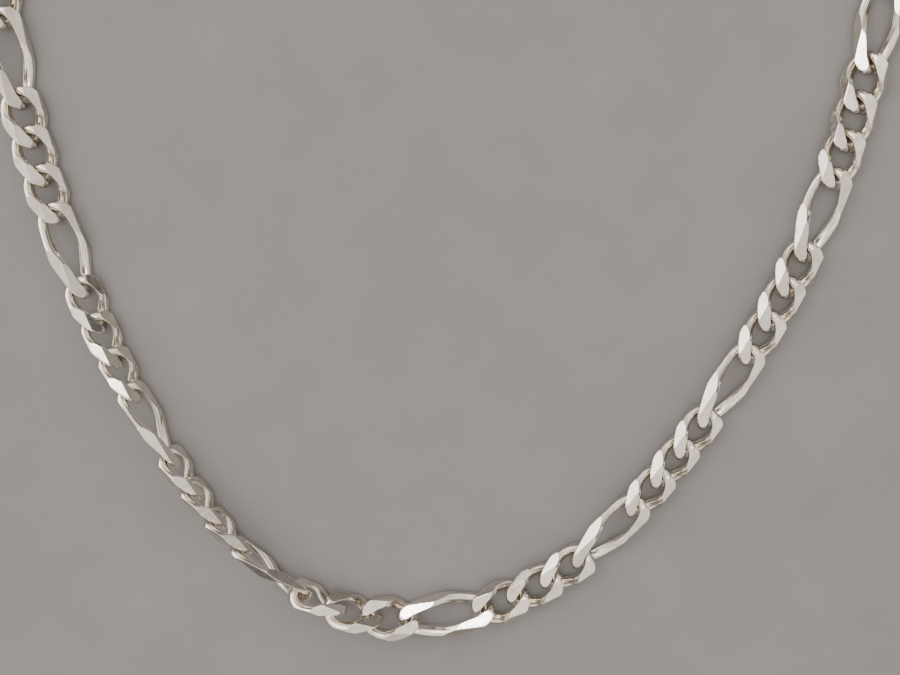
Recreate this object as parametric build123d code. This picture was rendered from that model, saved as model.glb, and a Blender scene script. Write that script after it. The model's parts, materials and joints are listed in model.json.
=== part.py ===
"""Figaro chain necklace: three short curb links, then one long one, all twisted and ground flat.

The chain lies unfastened in a U on a flat surface.  +X is to the right of the U, +Y runs up its arms and
+Z is up.  The origin is on the surface, in the middle of the space that the necklace covers.
All sizes are in millimetres and all angles in degrees.
"""
from build123d import *
from dataclasses import dataclass
import math
import os

os.makedirs("parts", exist_ok=True)

# ---------------------------------------------------------------- chain
CHAIN_WIDTH = 8.0
CHAIN_THICKNESS = 3.0         # between the two ground faces
WIRE = 1.9                    # wire diameter before grinding
SHORT_PITCH = 6.5             # from pivot to pivot
LONG_PITCH = 12.9
SLACK = 0.40                  # play between two hooked links, along the chain
WIRE_RISE = 1.65              # height of the twisted wire's axis above the link's middle plane
TIP_REACH = 1.9               # length of the tangent that rounds the end of a link
BEVEL_ANGLE = 50.0            # lean of the side bevels away from the ground faces
BEVEL_DEPTH = 0.26            # cut into the wire at the middle of a link's flank
REPEATS = 13                  # of three short links and one long one
SHORTS_PER_REPEAT = 3
MIDDLE_LINK = 27              # the long link at the bottom of the U

# ---------------------------------------------------------------- rings at the two ends
RING_RADIUS = 3.2             # to the axis of the ring's wire
RING_WIRE = 1.2
RING_LEAN = 22.0              # how far a ring leans to pass over and under the end link
RING_PLAY = 0.35              # between a ring and the inside of the end link

# ---------------------------------------------------------------- lobster clasp, x from its eye to its tip
EYE_RADIUS = 1.7              # to the axis of the eye's wire
EYE_WIRE = 1.0
EYE_PLAY = 0.3                # between the eye and its ring
CLASP_THICKNESS = 2.8
CLASP_CUT = 6.0               # depth of a cut that goes right through the clasp
CLASP_EDGE = 0.6              # rounding of the outer edges
BASE_X = 5.6
BASE_RADIUS = 3.0
CLAW_X = 13.0
CLAW_RADIUS = 4.7
NECK_START = 1.5
NECK_DIAMETER = 2.0
HOLE_X = 13.2                 # wide end of the space inside the claw
HOLE_RADIUS = 2.75
HOLE_BACK_X = 10.4            # narrow end of it
HOLE_BACK_RADIUS = 2.3
TIP_OUTER = (13.4, 4.68)      # the claw's tip is cut along the line through these two points
TIP_INNER = (15.86, 0.71)
MOUTH_BACK = 8.6              # where the mouth starts, behind the gate
MOUTH_SIDE = 0.6
MOUTH_END = 6.7               # beyond the claw's outer side
SLOT_START = 4.4              # slot for the trigger, between the two cheeks
SLOT_END = 9.0
SLOT_WIDTH = 1.2
PIVOT_X = 7.0
PIVOT_Y = 0.2
RIVET_DIAMETER = 1.0
RIVET_HEAD_DIAMETER = 1.7
RIVET_HEAD_HEIGHT = 0.25
TRIGGER_BORE = 1.1
TRIGGER_THICKNESS = 1.0
HUB_RADIUS = 1.5
WEB_RADIUS = 0.75             # the web joins the hub to the gate
WEB_ROOT = (7.75, 1.7)
WEB_END = (10.15, 3.0)
GATE_THICKNESS = 2.2
GATE_START = 9.4              # the gate is thicker beyond the cheeks
GATE_GAP = 0.18               # between the closed gate and the claw's tip
THUMB_X = 7.6                 # the thumb tab stands out on the side away from the gate
THUMB_Y = -4.4
THUMB_RADIUS = 0.75
THUMB_ROOT_RADIUS = 1.05
SPRING_LEAF = 0.25            # thickness of the bent leaf
SPRING_WIDTH = 0.9
SPRING_BEND = 0.25            # radius at each bend of the leaf
SPRING_TOP = 2.2              # the bends are at these distances from the middle line
SPRING_UPPER = 0.9
SPRING_MIDDLE = 0.1
SPRING_LOWER = -0.9
SPRING_TIP = -1.7

# ---------------------------------------------------------------- how the chain lies
LAY_POINTS = [
    (-68.0, 150.0),
    (-74.0, 108.0),
    (-74.4, 74.0),
    (-71.0, 44.0),
    (-65.8, 23.0),
    (-57.9, 0.6),
    (-46.3, -21.4),
    (-32.8, -38.6),
    (-19.6, -46.9),
    (-2.6, -49.0),
    (14.4, -44.0),
    (31.8, -29.0),
    (45.5, -10.4),
    (56.8, 9.6),
    (66.0, 35.6),
    (72.4, 70.0),
    (74.4, 104.0),
    (71.4, 160.0),
]
LAY_START = 13.4              # from the first lay point to the first pivot
SEARCH_REACH = 1.5            # pitches of the lay curve searched for the next pivot
SEARCH_STEPS = 40             # halvings of that stretch

# each knot is a link's number and its roll: above 0 the right-hand side of the travel is raised
ROLL_KNOTS = [
    (0, 0.0),
    (2, 0.0),
    (7, 20.0),
    (11, 30.0),
    (15, 42.0),
    (19, 71.0),
    (23, 98.0),
    (24, 76.0),
    (25, 51.0),
    (26, 30.0),
    (27, 14.0),
    (28, 4.0),
    (31, -22.0),
    (35, -21.0),
    (39, -12.0),
    (43, 6.0),
    (46, 13.0),
    (50, 0.0),
    (51, 0.0),
]

# ---------------------------------------------------------------- derived chain sizes
LINK_COUNT = REPEATS * (SHORTS_PER_REPEAT + 1)
HALF_WIDTH = (CHAIN_WIDTH - WIRE) / 2
RUNOUT = 2 * WIRE + SLACK                       # outer length of a link less its pitch
BEVEL_NORMAL = Vector(0, math.sin(math.radians(BEVEL_ANGLE)), math.cos(math.radians(BEVEL_ANGLE)))
BEVEL_OFFSET = HALF_WIDTH * BEVEL_NORMAL.Y + WIRE / 2 - BEVEL_DEPTH
RIDGE = BEVEL_OFFSET / BEVEL_NORMAL.Y           # half width where the upper and lower bevels meet
FLAT = (BEVEL_OFFSET - CHAIN_THICKNESS / 2 * BEVEL_NORMAL.Z) / BEVEL_NORMAL.Y


def is_long(number):
    return number % (SHORTS_PER_REPEAT + 1) == SHORTS_PER_REPEAT


def pitch_of(number):
    return LONG_PITCH if is_long(number) else SHORT_PITCH


def link_name(number):
    repeat = number // (SHORTS_PER_REPEAT + 1) + 1
    if is_long(number):
        return f"long_link_{repeat:02d}"
    letter = "abc"[number % (SHORTS_PER_REPEAT + 1)]
    return f"short_link_{repeat:02d}_{letter}"


def between_knots(knots, number):
    """Straight-line value between the two knots on either side."""
    for (left, low), (right, high) in zip(knots, knots[1:]):
        if number <= right:
            return low + (high - low) * (number - left) / (right - left)
    return knots[-1][1]


def resting_height(roll):
    """Height of a link's axis above the surface when its lowest corner touches it."""
    lean = math.radians(abs(roll))
    on_ridge = RIDGE * math.sin(lean)
    on_flat = FLAT * math.sin(lean) + CHAIN_THICKNESS / 2 * abs(math.cos(lean))
    return max(on_ridge, on_flat)


def lay_pivots(curve):
    """Pivots along the lay curve, each one pitch from the last, and beyond its last link."""
    here = LAY_START / curve.length
    pivots = [curve @ here]
    for number in range(LINK_COUNT):
        low = here
        high = min(1.0, here + SEARCH_REACH * pitch_of(number) / curve.length)
        for _ in range(SEARCH_STEPS):
            middle = (low + high) / 2
            if (curve @ middle - pivots[-1]).length < pitch_of(number):
                low = middle
            else:
                high = middle
        here = (low + high) / 2
        pivots.append(curve @ here)
    return pivots


def link_plane(start, end, roll):
    """Frame of a link: x along the chain, z square to its upper ground face."""
    along = (end - start).normalized()
    level = Vector(0, 0, 1).cross(along).normalized()
    upward = along.cross(level)
    lean = math.radians(roll)
    normal = upward * math.cos(lean) + level * math.sin(lean)
    return Plane(origin=(start + end) / 2, x_dir=along, z_dir=normal)


def lay_frames():
    """The frame of every link and the pivots between them, a little above the surface."""
    rolls = [between_knots(ROLL_KNOTS, number) for number in range(LINK_COUNT)]
    heights = [resting_height(roll) for roll in rolls]
    before = [heights[0]] + heights
    after = heights + [heights[-1]]
    flat_pivots = lay_pivots(Spline(*LAY_POINTS))
    pivots = []
    for point, one, other in zip(flat_pivots, before, after):
        pivots.append(Vector(point.X, point.Y, (one + other) / 2))
    planes = []
    for number, roll in enumerate(rolls):
        planes.append(link_plane(pivots[number], pivots[number + 1], roll))
    return planes, pivots


# ---------------------------------------------------------------- link solids
def quarter_arcs(pitch):
    """The two tangent arcs of a quarter of a link's axis, from its tip to the middle of its flank.

    Each arc is its start point, its tangent there and its end point.
    """
    half_length = (pitch + RUNOUT - WIRE) / 2
    tip = Vector(half_length, 0, 0)
    flank = Vector(0, HALF_WIDTH, 0)
    tip_tangent = Vector(0, HALF_WIDTH, -2 * WIRE_RISE).normalized()
    flank_tangent = Vector(-half_length, 0, 2 * WIRE_RISE).normalized()
    across = flank - tip
    reach = across.dot(across) - 2 * TIP_REACH * across.dot(tip_tangent)
    reach /= 2 * (across.dot(flank_tangent) + TIP_REACH * (1 - tip_tangent.dot(flank_tangent)))
    tip_control = tip + tip_tangent * TIP_REACH
    flank_control = flank - flank_tangent * reach
    middle_tangent = (flank_control - tip_control).normalized()
    middle = tip_control + middle_tangent * TIP_REACH
    return [(tip, tip_tangent, middle), (middle, middle_tangent, flank)]


def bent_wire(start, tangent, end, diameter):
    """A round wire along the circular arc that leaves start along tangent and reaches end."""
    chord = end - start
    inward = (chord - tangent * chord.dot(tangent)).normalized()
    radius = chord.dot(chord) / (2 * chord.dot(inward))
    turn = 2 * math.degrees(math.atan2(chord.dot(inward), chord.dot(tangent)))
    section = Plane(origin=start, z_dir=tangent) * Circle(diameter / 2)
    hinge = Axis(start + inward * radius, tangent.cross(inward))
    return revolve(section, axis=hinge, revolution_arc=turn)


def ground_envelope(pitch):
    """The six-sided bar that grinding leaves: two flat faces and four side bevels."""
    top = CHAIN_THICKNESS / 2
    outline = Polyline(
        (RIDGE, 0), (FLAT, top), (-FLAT, top), (-RIDGE, 0), (-FLAT, -top), (FLAT, -top), close=True
    )
    length = pitch + RUNOUT
    return extrude(Plane.YZ.offset(-length) * make_face(outline), 2 * length)


def curb_link(pitch):
    """One closed link: a twisted oval of round wire, soldered shut and ground on its faces and sides."""
    quarter = Part() + [bent_wire(*arc, WIRE) for arc in quarter_arcs(pitch)]
    half = quarter + quarter.rotate(Axis.X, 180)
    wire = half + half.rotate(Axis.Y, 180)
    return (wire & ground_envelope(pitch)).solid()


# ---------------------------------------------------------------- end rings
def ring_plane(link, outward, far_height):
    """Frame of a ring hooked on an end link, with x pointing away from the chain."""
    half_length = (link.pitch + RUNOUT - WIRE) / 2
    level_out = Vector(link.plane.x_dir.X, link.plane.x_dir.Y, 0).normalized() * outward
    hooked = half_length - (WIRE + RING_WIRE) / 2 - RING_PLAY
    near = link.plane.origin + link.plane.x_dir * outward * hooked
    rise = far_height - near.Z
    run = math.sqrt((2 * RING_RADIUS) ** 2 - rise ** 2)
    far = near + level_out * run + Vector(0, 0, rise)
    along = (far - near).normalized()
    level = Vector(0, 0, 1).cross(along).normalized()
    lean = math.radians(RING_LEAN)
    normal = along.cross(level) * math.cos(lean) - level * math.sin(lean)
    return Plane(origin=(near + far) / 2, x_dir=along, z_dir=normal)


def jump_ring():
    return Torus(RING_RADIUS, RING_WIRE / 2).solid()


# ---------------------------------------------------------------- clasp
def circle_at(x, y, radius):
    return Pos(x, y) * Circle(radius)


def hull_of(*circles):
    edges = [edge for circle in circles for edge in circle.edges()]
    return make_hull(edges)


def slab(sketch, thickness):
    return extrude(sketch, thickness / 2, both=True)


def tip_line_x(side, gap):
    """Where the cut across the claw's tip is at this distance from the middle line."""
    slope = (TIP_INNER[0] - TIP_OUTER[0]) / (TIP_INNER[1] - TIP_OUTER[1])
    return TIP_OUTER[0] + slope * (side - TIP_OUTER[1]) - gap


def mouth(back, gap):
    """The region between the cheeks and the claw's tip that the gate closes."""
    outline = Polyline(
        (back, MOUTH_SIDE),
        (back, MOUTH_END),
        (tip_line_x(MOUTH_END, gap), MOUTH_END),
        (tip_line_x(MOUTH_SIDE, gap), MOUTH_SIDE),
        close=True,
    )
    return make_face(outline)


def clasp_outline():
    return hull_of(circle_at(CLAW_X, 0, CLAW_RADIUS), circle_at(BASE_X, 0, BASE_RADIUS))


def clasp_hole():
    return hull_of(circle_at(HOLE_X, 0, HOLE_RADIUS), circle_at(HOLE_BACK_X, 0, HOLE_BACK_RADIUS))


def clasp_body():
    """Hook, cheeks, neck and eye in one casting, with its eye's middle on the z axis."""
    shell = slab(clasp_outline(), CLASP_THICKNESS)
    levels = shell.edges().group_by(Axis.Z)
    shell = fillet(levels[0] + levels[-1], CLASP_EDGE)
    shell -= slab(clasp_hole(), CLASP_CUT)
    shell -= slab(mouth(MOUTH_BACK, 0), CLASP_CUT)
    slot_middle = (SLOT_START + SLOT_END) / 2
    shell -= Pos(slot_middle, 0) * Box(SLOT_END - SLOT_START, 4 * BASE_RADIUS, SLOT_WIDTH)
    shell -= Pos(PIVOT_X, PIVOT_Y) * Cylinder(RIVET_DIAMETER / 2, CLASP_CUT)
    neck_end = BASE_X - BASE_RADIUS + CLASP_EDGE
    neck = extrude(Plane.YZ.offset(NECK_START) * Circle(NECK_DIAMETER / 2), neck_end - NECK_START)
    eye_rise = eye_height() - clasp_height()
    eye = Pos(0, 0, eye_rise) * Rot(90, 0, 0) * Torus(EYE_RADIUS, EYE_WIRE / 2)
    return (shell + neck + eye).solid()


def clasp_height():
    """Height of the clasp's middle plane when its lower rivet head touches the surface."""
    return CLASP_THICKNESS / 2 + RIVET_HEAD_HEIGHT


def eye_height():
    return EYE_RADIUS + EYE_WIRE / 2


def clasp_trigger():
    """Gate, hub and thumb tab in one lever that turns about the rivet."""
    wall = clasp_outline() - clasp_hole()
    gate = wall & mouth(GATE_START, GATE_GAP)
    hub = circle_at(PIVOT_X, PIVOT_Y, HUB_RADIUS)
    web = hull_of(circle_at(*WEB_ROOT, WEB_RADIUS), circle_at(*WEB_END, WEB_RADIUS))
    thumb_root = circle_at(PIVOT_X, PIVOT_Y, THUMB_ROOT_RADIUS)
    thumb = hull_of(thumb_root, circle_at(THUMB_X, THUMB_Y, THUMB_RADIUS))
    lever = slab(hub + web + thumb, TRIGGER_THICKNESS) + slab(gate, GATE_THICKNESS)
    lever -= Pos(PIVOT_X, PIVOT_Y) * Cylinder(TRIGGER_BORE / 2, CLASP_CUT)
    return lever.solid()


def clasp_rivet():
    """Pin through both cheeks, with a low head at each end."""
    pin = Cylinder(RIVET_DIAMETER / 2, CLASP_THICKNESS)
    head = Cylinder(RIVET_HEAD_DIAMETER / 2, RIVET_HEAD_HEIGHT)
    for side in (-1, 1):
        pin += Pos(0, 0, side * (CLASP_THICKNESS + RIVET_HEAD_HEIGHT) / 2) * head
    return (Pos(PIVOT_X, PIVOT_Y) * pin).solid()


def clasp_spring():
    """Bent leaf between the back of the slot and the trigger's hub."""
    wall = SLOT_START + SPRING_LEAF / 2
    reach = PIVOT_X - HUB_RADIUS - SPRING_LEAF
    line = FilletPolyline(
        (wall, SPRING_TOP),
        (wall, SPRING_UPPER),
        (reach, SPRING_MIDDLE),
        (wall, SPRING_LOWER),
        (reach, SPRING_TIP),
        radius=SPRING_BEND,
    )
    return slab(trace(line, SPRING_LEAF), SPRING_WIDTH).solid()


# ---------------------------------------------------------------- assembly
@dataclass
class Link:
    name: str
    pitch: float
    plane: Plane
    solid: Solid


def settled(plane, solid):
    """The same frame, let down or raised until the solid's lowest point is on the surface."""
    lowest = solid.moved(plane.location).bounding_box().min.Z
    origin = plane.origin - Vector(0, 0, lowest)
    return Plane(origin=origin, x_dir=plane.x_dir, z_dir=plane.z_dir)


def place_links(planes):
    """Every link on its frame, resting on the surface."""
    made = {pitch: curb_link(pitch) for pitch in (SHORT_PITCH, LONG_PITCH)}
    links = []
    for number, plane in enumerate(planes):
        pitch = pitch_of(number)
        plane = settled(plane, made[pitch])
        links.append(Link(link_name(number), pitch, plane, made[pitch].moved(plane.location)))
    return links


def clasp_plane(ring):
    """Frame of the clasp, hooked by its eye on the far side of its ring."""
    level_out = Vector(ring.x_dir.X, ring.x_dir.Y, 0).normalized()
    gap = EYE_RADIUS - EYE_WIRE / 2 - RING_WIRE / 2 - EYE_PLAY
    eye = ring.origin + ring.x_dir * RING_RADIUS + level_out * gap
    return Plane(origin=(eye.X, eye.Y, clasp_height()), x_dir=level_out, z_dir=(0, 0, 1))


planes, pivots = lay_frames()
links = place_links(planes)
ring_middle_height = RING_RADIUS * math.sin(math.radians(RING_LEAN)) + RING_WIRE / 2
end_ring_height = 2 * ring_middle_height - links[0].plane.origin.Z
end_ring_plane = settled(ring_plane(links[0], -1, end_ring_height), jump_ring())
clasp_ring_plane = ring_plane(links[-1], 1, eye_height())
clasp_frame = clasp_plane(clasp_ring_plane)

pieces = {link.name: link.solid for link in links}
pieces["end_ring"] = jump_ring().moved(end_ring_plane.location)
pieces["clasp_ring"] = jump_ring().moved(clasp_ring_plane.location)
pieces["clasp_body"] = clasp_body().moved(clasp_frame.location)
pieces["clasp_trigger"] = clasp_trigger().moved(clasp_frame.location)
pieces["clasp_rivet"] = clasp_rivet().moved(clasp_frame.location)
pieces["clasp_spring"] = clasp_spring().moved(clasp_frame.location)

middle = Compound(list(pieces.values())).bounding_box().center()
to_origin = Location((-middle.X, -middle.Y, 0))
pieces = {name: solid.moved(to_origin) for name, solid in pieces.items()}
for name, solid in pieces.items():
    export_step(solid, f"parts/{name}.step")
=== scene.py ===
import json
import math
import random

import bpy
import numpy as np
from mathutils import Matrix, Vector

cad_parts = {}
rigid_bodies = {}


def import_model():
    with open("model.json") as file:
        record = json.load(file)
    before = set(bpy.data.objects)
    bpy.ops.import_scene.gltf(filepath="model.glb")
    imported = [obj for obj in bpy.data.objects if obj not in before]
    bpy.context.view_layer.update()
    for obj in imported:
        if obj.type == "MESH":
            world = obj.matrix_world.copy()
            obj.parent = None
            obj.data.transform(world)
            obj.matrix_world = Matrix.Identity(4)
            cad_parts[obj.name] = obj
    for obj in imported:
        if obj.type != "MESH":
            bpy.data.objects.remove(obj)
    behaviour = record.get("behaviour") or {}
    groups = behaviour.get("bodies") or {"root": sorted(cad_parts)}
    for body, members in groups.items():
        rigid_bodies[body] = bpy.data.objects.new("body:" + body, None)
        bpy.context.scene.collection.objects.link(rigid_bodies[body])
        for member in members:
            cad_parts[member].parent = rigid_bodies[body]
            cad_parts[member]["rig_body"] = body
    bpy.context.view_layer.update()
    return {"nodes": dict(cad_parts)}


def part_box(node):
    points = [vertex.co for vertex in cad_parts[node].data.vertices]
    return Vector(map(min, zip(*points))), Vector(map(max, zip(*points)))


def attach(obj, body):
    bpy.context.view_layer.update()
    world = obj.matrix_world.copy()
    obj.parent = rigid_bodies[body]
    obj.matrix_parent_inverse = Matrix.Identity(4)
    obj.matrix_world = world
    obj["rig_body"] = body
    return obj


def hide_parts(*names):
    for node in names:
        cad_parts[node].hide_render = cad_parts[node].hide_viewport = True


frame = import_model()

MM = 0.001

# ---------------------------------------------------------------- sizes shared with the CAD, in mm
WIRE = 1.9
SHORT_PITCH = 6.5
LONG_PITCH = 12.9
RUNOUT = 4.2
HALF_WIDTH = 3.05
WIRE_RISE = 1.65
TIP_REACH = 1.9
CHAIN_THICKNESS = 3.0
BEVEL_ANGLE = math.radians(50)
BEVEL_DEPTH = 0.26              # of metal ground off the round wire
BEVEL_OFFSET = HALF_WIDTH * math.sin(BEVEL_ANGLE) + WIRE / 2 - BEVEL_DEPTH

# The looks add metal that pressing spreads into the eye of a link, which the CAD leaves out.
SPREAD_WIRE = 1.36              # across a thinner wire beside the first
SPREAD_AT_TIP = 0.2             # how far it lies inside the first wire's axis
SPREAD_AT_FLANK = 0.6
SPREAD_RISE = 1.95              # sets its height over the middle plane, as WIRE_RISE does

# Hand grinding leaves each face a little out of true.
GRIND_TILT = (0.006, 0.009, 0.009)
GRIND_DEPTH = 0.02

# ---------------------------------------------------------------- how fine the meshes are
ARC_SAMPLES = 400               # along each arc, before the even steps are taken
SECTION_SAMPLES = 361           # round each section, before its columns are chosen
LINK_ROWS = {SHORT_PITCH: 168, LONG_PITCH: 236}
LINK_COLUMNS = 52
EDGE_SHARPNESS = 90.0           # of the edges between ground faces
CORNER_SHARE = 0.5              # of a section's points that gather at its edges
BLEND = 24.0                    # how closely the two wires are blended
CENTRE_ROOM = 0.05              # least distance kept between a wire's axis and a ground face
LEAST_LEAN = 1e-3               # of a ray toward a ground face, so that none divides by nothing
LINK_SEED = 27


# ---------------------------------------------------------------- link meshes
def unit(v):
    return v / np.linalg.norm(v)


def arc_samples(start, tangent, end):
    """Points and tangents along the circular arc that leaves start along tangent and reaches end."""
    chord = end - start
    inward = unit(chord - tangent * (chord @ tangent))
    radius = (chord @ chord) / (2 * (chord @ inward))
    turn = 2 * math.atan2(chord @ inward, chord @ tangent)
    angle = np.linspace(0, turn, ARC_SAMPLES)[:, None]
    points = start + radius * (inward * (1 - np.cos(angle)) + tangent * np.sin(angle))
    tangents = tangent * np.cos(angle) + inward * np.sin(angle)
    return points, tangents


def wire_axis(half_length, half_width, rise, rows):
    """Points and tangents at even steps once round a wire's twisted axis."""
    tip = np.array([half_length, 0.0, 0.0])
    flank = np.array([0.0, half_width, 0.0])
    tip_tangent = unit(np.array([0, half_width, -2 * rise]))
    flank_tangent = unit(np.array([-half_length, 0, 2 * rise]))
    across = flank - tip
    reach = across @ across - 2 * TIP_REACH * (across @ tip_tangent)
    reach /= 2 * (across @ flank_tangent + TIP_REACH * (1 - tip_tangent @ flank_tangent))
    tip_control = tip + tip_tangent * TIP_REACH
    flank_control = flank - flank_tangent * reach
    middle_tangent = unit(flank_control - tip_control)
    middle = tip_control + middle_tangent * TIP_REACH
    first = arc_samples(tip, tip_tangent, middle)
    second = arc_samples(middle, middle_tangent, flank)
    points = np.vstack([first[0][:-1], second[0]])
    tangents = np.vstack([first[1][:-1], second[1]])
    about_x = np.array([1, -1, -1])
    about_y = np.array([-1, 1, -1])
    about_z = np.array([-1, -1, 1])
    loop = np.vstack([
        points,
        (points * about_y)[::-1][1:],
        (points * about_z)[1:],
        (points * about_x)[::-1][1:],
    ])
    heading = np.vstack([
        tangents,
        -(tangents * about_y)[::-1][1:],
        (tangents * about_z)[1:],
        -(tangents * about_x)[::-1][1:],
    ])
    length = np.concatenate([[0], np.cumsum(np.linalg.norm(np.diff(loop, axis=0), axis=1))])
    at = np.linspace(0, length[-1], rows, endpoint=False)
    axis = np.stack([np.interp(at, length, loop[:, i]) for i in range(3)], axis=1)
    along = np.stack([np.interp(at, length, heading[:, i]) for i in range(3)], axis=1)
    return axis, along / np.linalg.norm(along, axis=1)[:, None]


def ground_planes(rng):
    """Normals and offsets of the two ground faces and four bevels, each as uneven as hand grinding."""
    sine, cosine = math.sin(BEVEL_ANGLE), math.cos(BEVEL_ANGLE)
    normals = [(0, 0, 1), (0, 0, -1)]
    offsets = [CHAIN_THICKNESS / 2, CHAIN_THICKNESS / 2]
    for side in (-1, 1):
        for face in (-1, 1):
            normals.append((0, side * sine, face * cosine))
            offsets.append(BEVEL_OFFSET)
    planes = []
    for normal, offset in zip(normals, offsets):
        tilt = np.array([rng.gauss(0, spread) for spread in GRIND_TILT])
        planes.append((unit(np.array(normal, float) + tilt), offset - abs(rng.gauss(0, GRIND_DEPTH))))
    return planes


def link_points(pitch, rng):
    """Grid of a link's surface points, rows along its axis and columns round the wire."""
    rows = LINK_ROWS[pitch]
    half_length = (pitch + RUNOUT - WIRE) / 2
    axis, along = wire_axis(half_length, HALF_WIDTH, WIRE_RISE, rows)
    spread_length = half_length - SPREAD_AT_TIP
    beside = wire_axis(spread_length, HALF_WIDTH - SPREAD_AT_FLANK, SPREAD_RISE, rows)[0] - axis
    beside -= along * (beside * along).sum(axis=1)[:, None]
    up = np.array([0, 0, 1.0]) - along * along[:, 2:3]
    up /= np.linalg.norm(up, axis=1)[:, None]
    out = np.cross(along, up)
    fine = np.linspace(-math.pi, math.pi, SECTION_SAMPLES)
    ray = out[:, None, :] * np.cos(fine)[None, :, None]
    ray = ray + up[:, None, :] * np.sin(fine)[None, :, None]
    lie = (ray * beside[:, None, :]).sum(axis=2)
    inside = (SPREAD_WIRE / 2) ** 2 - (beside * beside).sum(axis=1)[:, None] + lie ** 2
    spread = np.where(inside > 0, lie + np.sqrt(np.maximum(inside, 0)), 0)
    spread = np.maximum(spread, 0)
    section = ((WIRE / 2) ** BLEND + spread ** BLEND) ** (1 / BLEND)
    near = (1 / section) ** EDGE_SHARPNESS
    for normal, offset in ground_planes(rng):
        room = np.maximum(offset - axis @ normal, CENTRE_ROOM)
        lean = np.maximum(ray @ normal, LEAST_LEAN)
        near += (lean / room[:, None]) ** EDGE_SHARPNESS
    radius = near ** (-1 / EDGE_SHARPNESS)
    flat = np.stack([radius * np.cos(fine), radius * np.sin(fine)], axis=2)
    step = np.diff(flat, axis=1)
    size = np.linalg.norm(step, axis=2)
    course = np.unwrap(np.arctan2(step[:, :, 1], step[:, :, 0]), axis=1)
    bend = np.abs(np.diff(course, axis=1, prepend=course[:, :1]))
    weight = (1 - CORNER_SHARE) * size / size.sum(axis=1)[:, None]
    weight += CORNER_SHARE * bend / bend.sum(axis=1)[:, None]
    travel = np.concatenate([np.zeros((rows, 1)), np.cumsum(weight, axis=1)], axis=1)
    even = np.linspace(0, 1, LINK_COLUMNS, endpoint=False)
    points = np.empty((rows, LINK_COLUMNS, 3))
    for row in range(rows):
        angle = np.interp(even * travel[row, -1], travel[row], fine)
        reach = np.interp(angle, fine, radius[row])
        ray_row = out[row] * np.cos(angle)[:, None] + up[row] * np.sin(angle)[:, None]
        points[row] = axis[row] + ray_row * reach[:, None]
    return points


def grid_mesh(name, points, matrix):
    """Mesh of a grid of points that closes on itself both ways, moved into the CAD frame.

    The points are in mm in the link's own frame, and their x and y there become its UV map, in metres.
    """
    rows, columns = points.shape[:2]
    index = np.arange(rows * columns).reshape(rows, columns)
    beside = np.roll(index, -1, axis=1)
    ahead = np.roll(index, -1, axis=0)
    both = np.roll(ahead, -1, axis=1)
    quads = np.stack([index, ahead, both, beside], axis=-1).reshape(-1, 4)
    mesh = bpy.data.meshes.new(name)
    mesh.vertices.add(rows * columns)
    own = points.reshape(-1, 3) * MM
    placed = own @ np.array(matrix.to_3x3()).T + np.array(matrix.translation)
    mesh.vertices.foreach_set("co", placed.astype(np.float32).ravel())
    mesh.loops.add(quads.size)
    mesh.loops.foreach_set("vertex_index", quads.astype(np.int32).ravel())
    mesh.polygons.add(len(quads))
    mesh.polygons.foreach_set("loop_start", np.arange(0, quads.size, 4, dtype=np.int32))
    mesh.update(calc_edges=True)
    plan = mesh.uv_layers.new(name="plan")
    plan.uv.foreach_set("vector", own[quads.ravel(), :2].astype(np.float32).ravel())
    mesh.shade_smooth()
    return mesh


def node_frame(node):
    """A CAD link's own frame: origin at its centroid, x its longest way, z square to its loop."""
    mesh = frame["nodes"][node].data
    co = np.empty(len(mesh.vertices) * 3)
    mesh.vertices.foreach_get("co", co)
    co = co.reshape(-1, 3)
    mesh.calc_loop_triangles()
    corners = np.empty(len(mesh.loop_triangles) * 3, np.int32)
    mesh.loop_triangles.foreach_get("vertices", corners)
    centre = co.mean(axis=0)
    a, b, c = (co[corners.reshape(-1, 3)[:, i]] - centre for i in range(3))
    volume = np.einsum("ij,ij->i", a, np.cross(b, c)) / 6
    total = volume.sum()
    centroid = ((a + b + c) * volume[:, None]).sum(axis=0) / 4 / total
    second = np.zeros((3, 3))
    for p in (a, b, c):
        second += np.einsum("i,ij,ik->jk", volume, p, p)
    middle = a + b + c
    second = (second + np.einsum("i,ij,ik->jk", volume, middle, middle)) / 20
    second -= total * np.outer(centroid, centroid)
    order = np.linalg.eigh(second / total)[1]
    x, y = order[:, 2], order[:, 1]
    matrix = Matrix.Identity(4)
    for i, way in enumerate((x, y, np.cross(x, y))):
        for j in range(3):
            matrix[j][i] = way[j]
    matrix.translation = Vector(centre + centroid)
    return matrix


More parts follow.
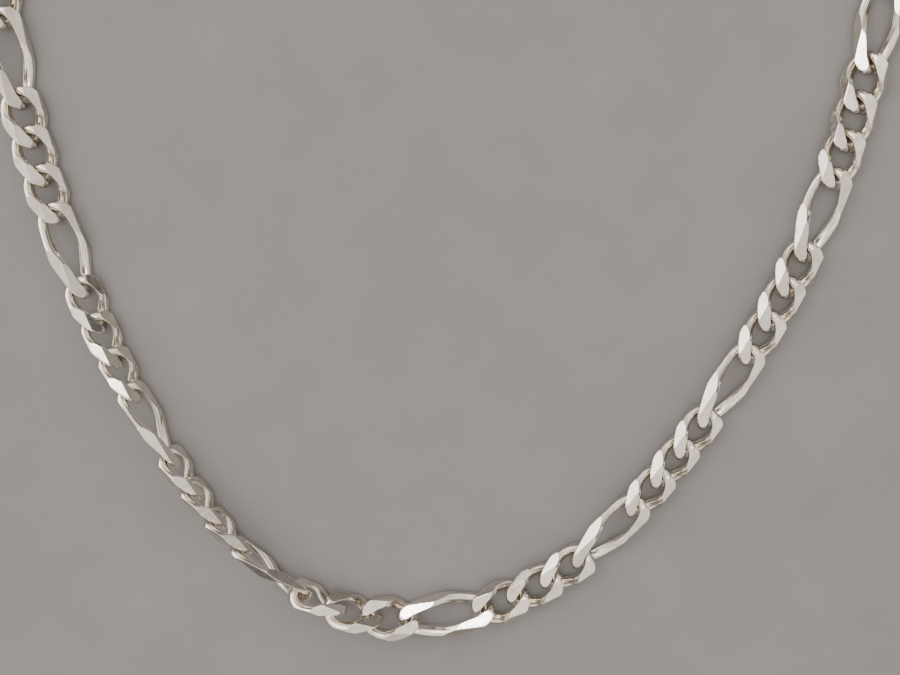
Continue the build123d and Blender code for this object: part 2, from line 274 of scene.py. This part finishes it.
# ---------------------------------------------------------------- materials
class Nodes:
    """Short hand for building a node tree."""

    def __init__(self, tree):
        self.tree = tree

    def add(self, kind, inputs=(), **settings):
        node = self.tree.nodes.new(kind)
        for key, value in settings.items():
            setattr(node, key, value)
        for key, value in dict(inputs).items():
            self.feed(value, node.inputs[key])
        return node

    def feed(self, value, socket):
        if isinstance(value, bpy.types.NodeSocket):
            self.tree.links.new(value, socket)
        else:
            socket.default_value = value

    def math(self, operation, a, b):
        return self.add("ShaderNodeMath", {0: a, 1: b}, operation=operation).outputs[0]

    def ramp(self, value, low, high, to_low=0.0, to_high=1.0):
        inputs = {"Value": value, "From Min": low, "From Max": high}
        inputs.update({"To Min": to_low, "To Max": to_high})
        return self.add("ShaderNodeMapRange", inputs, clamp=True).outputs["Result"]

    def mix(self, share, a, b):
        node = self.add("ShaderNodeMix", data_type="RGBA")
        for name, value in (("Factor", share), ("A", a), ("B", b)):
            socket = next(s for s in node.inputs if s.name == name and s.enabled)
            self.feed(value, socket)
        return next(s for s in node.outputs if s.enabled)

    def noise(self, vector, scale, detail, roughness):
        inputs = {"Vector": vector, "Scale": scale, "Detail": detail, "Roughness": roughness}
        return self.add("ShaderNodeTexNoise", inputs).outputs[0]

    def bump(self, height, strength, distance, **under):
        inputs = {"Strength": strength, "Distance": distance, "Height": height}
        inputs.update(under)
        return self.add("ShaderNodeBump", inputs).outputs[0]

    def shifted(self, scale=(1.0, 1.0, 1.0), source="Object"):
        """A piece's coordinates, moved by a random amount for each piece."""
        own = self.add("ShaderNodeTexCoord").outputs[source]
        chance = self.add("ShaderNodeObjectInfo").outputs["Random"]
        away = self.add("ShaderNodeCombineXYZ", {0: chance, 1: chance, 2: chance}).outputs[0]
        moved = self.add("ShaderNodeVectorMath", {0: own, 1: away}, operation="ADD").outputs[0]
        return self.add("ShaderNodeMapping", {"Vector": moved, "Scale": scale}).outputs[0]


class Surface(Nodes):
    """Short hand for building one material."""

    def __init__(self, name):
        self.material = bpy.data.materials.new(name)
        self.material.use_nodes = True
        super().__init__(self.material.node_tree)
        self.shader = self.tree.nodes["Principled BSDF"]


# noise scales are per metre, and each is followed by its detail and roughness
PATCHES = (380.0, 4.0, 0.55)
SMUDGES = (1400.0, 5.0, 0.6)
SPECKS = (7000.0, 2.0, 0.6)
LENGTHWISE = (1500.0, 2.0, 0.5)
LENGTHWISE_STRETCH = (1.0, 14.0, 14.0)
CROSSWISE = (900.0, 2.0, 0.5)
CROSSWISE_STRETCH = (16.0, 1.4, 16.0)
BRUSHED = (2500.0, 3.0, 0.6)
BRUSHED_STRETCH = (1.0, 1.0, 30.0)
MOTTLE = (60.0, 4.0, 0.6)
TOOTH = (2600.0, 3.0, 0.6)

# pointiness, or noise, at which an effect starts and at which it is full
EDGE_RANGE = (0.53, 0.60)
RECESS_RANGE = (0.47, 0.40)
PATCH_RANGE = (0.38, 0.66)
SMUDGE_RANGE = (0.35, 0.75)
BRUSHED_RANGE = (0.3, 0.7)

# recesses are darkened toward this brown: partly tarnish, partly painted shade
TARNISH_AND_SHADE = (0.32, 0.27, 0.22, 1.0)
TARNISH_AND_SHADE_SHARE = 0.6
# edges are lightened toward this near white: partly rubbed wear, partly a painted highlight
RUBBED_AND_HIGHLIGHT = (0.95, 0.93, 0.90, 1.0)
RUBBED_AND_HIGHLIGHT_SHARE = 0.5
RECESS_ROUGHER = 0.2
EDGE_ROUGHER = 0.05
SCRATCH_DEPTH = 0.00004
SPECK_DEPTH = 0.00002

STEEL_DARK = (0.42, 0.42, 0.42, 1.0)
STEEL_LIGHT = (0.62, 0.61, 0.59, 1.0)
STEEL_ROUGHNESS = (0.28, 0.42)
STEEL_BUMP = (0.3, 0.00003)             # strength, then depth

CARD_DARK = (0.205, 0.198, 0.196, 1.0)
CARD_LIGHT = (0.255, 0.247, 0.244, 1.0)
CARD_ROUGHNESS = 0.9
CARD_SPECULAR = 0.15
CARD_BUMP = (0.25, 0.0002)


def silver(name, bright, dull, smooth, rough, grain, scratch, plan):
    """Polished silver: tinted and dulled in patches, darkened in recesses by tarnish and painted shade,
    scratched, and made lighter on edges by rubbed wear and a painted highlight.

    The scratches lie along and across the coordinates that plan names.
    """
    n = Surface(name)
    place = n.shifted()
    patches = n.noise(place, *PATCHES)
    smudges = n.noise(place, *SMUDGES)
    specks = n.noise(place, *SPECKS)
    lengthwise = n.noise(n.shifted(LENGTHWISE_STRETCH, plan), *LENGTHWISE)
    crosswise = n.noise(n.shifted(CROSSWISE_STRETCH, plan), *CROSSWISE)
    hollow = n.add("ShaderNodeNewGeometry").outputs["Pointiness"]
    edge_wear_and_highlight = n.ramp(hollow, *EDGE_RANGE)
    recess_tarnish_and_shade = n.ramp(hollow, *RECESS_RANGE)
    tone = n.mix(n.ramp(patches, *PATCH_RANGE), bright, dull)
    # darker in recesses: tarnish together with painted shade
    tone = n.mix(n.math("MULTIPLY", recess_tarnish_and_shade, TARNISH_AND_SHADE_SHARE), tone, TARNISH_AND_SHADE)
    # lighter on edges: rubbed wear together with a painted highlight
    tone = n.mix(n.math("MULTIPLY", edge_wear_and_highlight, RUBBED_AND_HIGHLIGHT_SHARE), tone, RUBBED_AND_HIGHLIGHT)
    n.feed(tone, n.shader.inputs["Base Color"])
    n.shader.inputs["Metallic"].default_value = 1.0
    haze = n.ramp(smudges, *SMUDGE_RANGE, smooth, rough)
    haze = n.math("ADD", haze, n.math("MULTIPLY", recess_tarnish_and_shade, RECESS_ROUGHER))
    haze = n.math("ADD", haze, n.math("MULTIPLY", edge_wear_and_highlight, EDGE_ROUGHER))
    n.feed(haze, n.shader.inputs["Roughness"])
    both_ways = n.math("MULTIPLY", n.math("ADD", lengthwise, crosswise), 0.5)
    scratches = n.bump(both_ways, scratch, SCRATCH_DEPTH)
    n.feed(n.bump(specks, grain, SPECK_DEPTH, Normal=scratches), n.shader.inputs["Normal"])
    return n.material


def matt_steel(name):
    """Spring steel, brushed one way."""
    n = Surface(name)
    brushed = n.noise(n.shifted(BRUSHED_STRETCH), *BRUSHED)
    n.feed(n.mix(brushed, STEEL_DARK, STEEL_LIGHT), n.shader.inputs["Base Color"])
    n.shader.inputs["Metallic"].default_value = 1.0
    n.feed(n.ramp(brushed, *BRUSHED_RANGE, *STEEL_ROUGHNESS), n.shader.inputs["Roughness"])
    n.feed(n.bump(brushed, *STEEL_BUMP), n.shader.inputs["Normal"])
    return n.material


def pale_card(name):
    """The floor: pale, matt, very slightly mottled."""
    n = Surface(name)
    own = n.add("ShaderNodeTexCoord").outputs["Object"]
    n.feed(n.mix(n.noise(own, *MOTTLE), CARD_DARK, CARD_LIGHT), n.shader.inputs["Base Color"])
    n.shader.inputs["Roughness"].default_value = CARD_ROUGHNESS
    n.shader.inputs["Specular IOR Level"].default_value = CARD_SPECULAR
    n.feed(n.bump(n.noise(own, *TOOTH), *CARD_BUMP), n.shader.inputs["Normal"])
    return n.material


chain_silver = silver(
    "chain_silver",
    bright=(0.88, 0.83, 0.76, 1),
    dull=(0.72, 0.66, 0.58, 1),
    smooth=0.09,
    rough=0.24,
    grain=0.28,
    scratch=0.18,
    plan="UV",
)
ring_silver = silver(
    "ring_silver",
    bright=(0.86, 0.83, 0.79, 1),
    dull=(0.76, 0.72, 0.67, 1),
    smooth=0.12,
    rough=0.26,
    grain=0.12,
    scratch=0.10,
    plan="Object",
)
clasp_silver = silver(
    "clasp_silver",
    bright=(0.87, 0.84, 0.80, 1),
    dull=(0.78, 0.74, 0.69, 1),
    smooth=0.12,
    rough=0.24,
    grain=0.10,
    scratch=0.10,
    plan="Object",
)
spring_steel = matt_steel("spring_steel")


# ---------------------------------------------------------------- pieces
def place(obj, node, slot, material):
    bpy.context.scene.collection.objects.link(obj)
    obj.data.materials.append(material)
    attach(obj, frame["nodes"][node]["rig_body"])
    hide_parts(node)


rng = random.Random(LINK_SEED)
for node in sorted(frame["nodes"]):
    if "_link_" in node:
        pitch = LONG_PITCH if node.startswith("long") else SHORT_PITCH
        mesh = grid_mesh(node + "_ground", link_points(pitch, rng), node_frame(node))
        link = bpy.data.objects.new(node + "_silver", mesh)
        place(link, node, "chain_silver", chain_silver)

for node, material in (
    ("end_ring", ring_silver),
    ("clasp_ring", ring_silver),
    ("clasp_body", clasp_silver),
    ("clasp_trigger", clasp_silver),
    ("clasp_rivet", clasp_silver),
    ("clasp_spring", spring_steel),
):
    carried = frame["nodes"][node]
    carried.data.materials.clear()
    carried.data.materials.append(material)

# ---------------------------------------------------------------- floor, lights and camera
ROOM_COLOUR = (1.0, 0.945, 0.87, 1.0)
ROOM_DARK_TO_BRIGHT = (0.14, 0.62, 0.12, 1.50)      # two heights of view, then the strengths there
ROOM_PATCHES = (2.2, 2.0, 0.5)
ROOM_PATCH_RANGE = (0.35, 0.65, 0.55, 1.25)         # two noise values, then the strengths there
WARM_WHITE = (1.0, 0.97, 0.93)
FLOOR_REACH = 3.0
AIM_BEYOND = Vector((0.00071, 0.04838, 0.0))        # from the middle of the link at the bottom of the U
CAMERA_DISTANCE = 0.260
CAMERA_TILT = math.radians(10)
CAMERA_LENS = 61.4
SENSOR_WIDTH = 36.0
NEAREST_SEEN = 0.01

floor_mesh = bpy.data.meshes.new("floor")
corner_ways = ((-1, -1), (1, -1), (1, 1), (-1, 1))
floor_corners = [(x * FLOOR_REACH, y * FLOOR_REACH, 0) for x, y in corner_ways]
floor_mesh.from_pydata(floor_corners, [], [(0, 1, 2, 3)])
floor = bpy.data.objects.new("floor", floor_mesh)
floor_mesh.materials.append(pale_card("pale_card"))
bpy.context.scene.collection.objects.link(floor)

# the camera and lights aim at a point on the floor inside the U
low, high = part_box("long_link_07")
aim = (low + high) / 2 + AIM_BEYOND
aim.z = 0.0


def soft_light(name, spot, size, power, colour):
    light = bpy.data.lights.new(name, "AREA")
    light.shape = "RECTANGLE"
    light.size, light.size_y = size
    light.energy = power
    light.color = colour
    holder = bpy.data.objects.new(name, light)
    bpy.context.scene.collection.objects.link(holder)
    holder.location = aim + Vector(spot)
    holder.rotation_mode = "QUATERNION"
    holder.rotation_quaternion = (-Vector(spot)).to_track_quat("-Z", "Y")


soft_light("window", spot=(-1.00, 0.70, 0.95), size=(1.30, 1.20), power=10.5, colour=WARM_WHITE)
soft_light("ceiling", spot=(-0.02, 0.09, 0.95), size=(0.26, 0.14), power=1.6, colour=WARM_WHITE)

world = bpy.data.worlds.new("room")
bpy.context.scene.world = world
world.use_nodes = True
room = Nodes(world.node_tree)
toward = room.add("ShaderNodeTexCoord").outputs["Generated"]
height = room.add("ShaderNodeSeparateXYZ", {0: toward}).outputs["Z"]
overhead = room.ramp(height, *ROOM_DARK_TO_BRIGHT)
furniture = room.ramp(room.noise(toward, *ROOM_PATCHES), *ROOM_PATCH_RANGE)
backdrop = world.node_tree.nodes["Background"]
backdrop.inputs["Color"].default_value = ROOM_COLOUR
room.feed(room.math("MULTIPLY", overhead, furniture), backdrop.inputs["Strength"])

camera_data = bpy.data.cameras.new("camera")
camera_data.sensor_width = SENSOR_WIDTH
camera_data.lens = CAMERA_LENS
camera_data.clip_start = NEAREST_SEEN
camera = bpy.data.objects.new("camera", camera_data)
bpy.context.scene.collection.objects.link(camera)
toward_camera = Vector((0, math.sin(CAMERA_TILT), math.cos(CAMERA_TILT)))
camera.location = aim + CAMERA_DISTANCE * toward_camera
camera.rotation_euler = (-CAMERA_TILT, 0, 0)
bpy.context.scene.camera = camera
